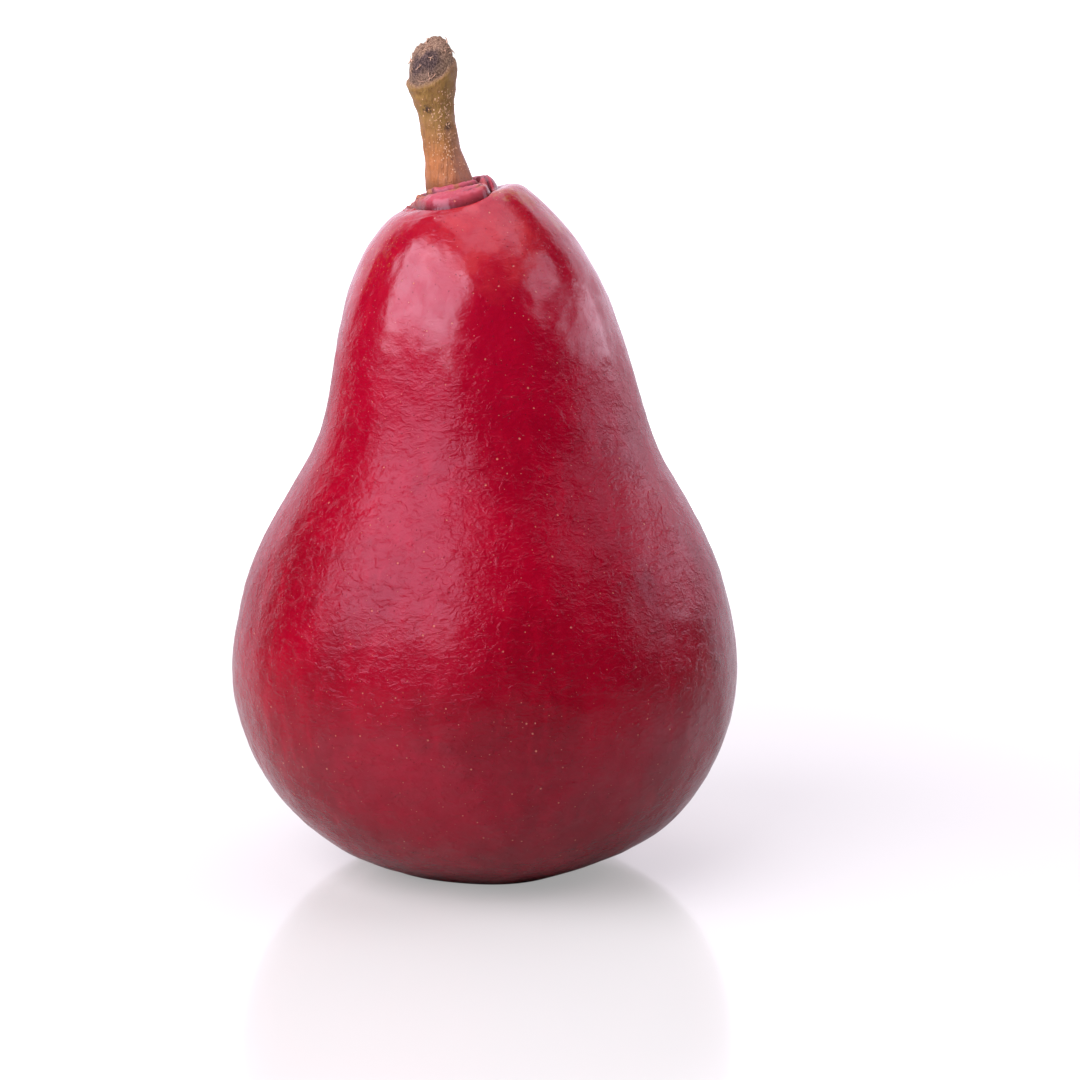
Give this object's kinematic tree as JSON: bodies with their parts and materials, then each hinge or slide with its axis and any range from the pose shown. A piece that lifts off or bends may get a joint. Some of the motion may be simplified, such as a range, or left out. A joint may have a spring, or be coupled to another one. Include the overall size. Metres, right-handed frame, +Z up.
{
  "type": "pear",
  "caption": "Whole ripe red pear standing on its base, with a leaning woody stem and dried sepals and stamens in the calyx.",
  "frame": {"origin": "on the surface that the pear stands on, under the middle of the belly", "axes": "+Z up through the core to the stem, -X the side that the neck and stem lean to, -Y the front"},
  "size_m": [0.0722, 0.0722, 0.1173],
  "materials": {
    "skin": "waxy, glossy",
    "stem": "dry bark",
    "sepal": "dry, wrinkled",
    "stamens": "dry fibre"
  },
  "bodies": {
    "root": {"fruit": "skin", "stem": "stem", "sepal_1": "sepal", "sepal_2": "sepal", "sepal_3": "sepal", "sepal_4": "sepal", "sepal_5": "sepal", "stamens": "stamens"}
  },
  "joints": []
}
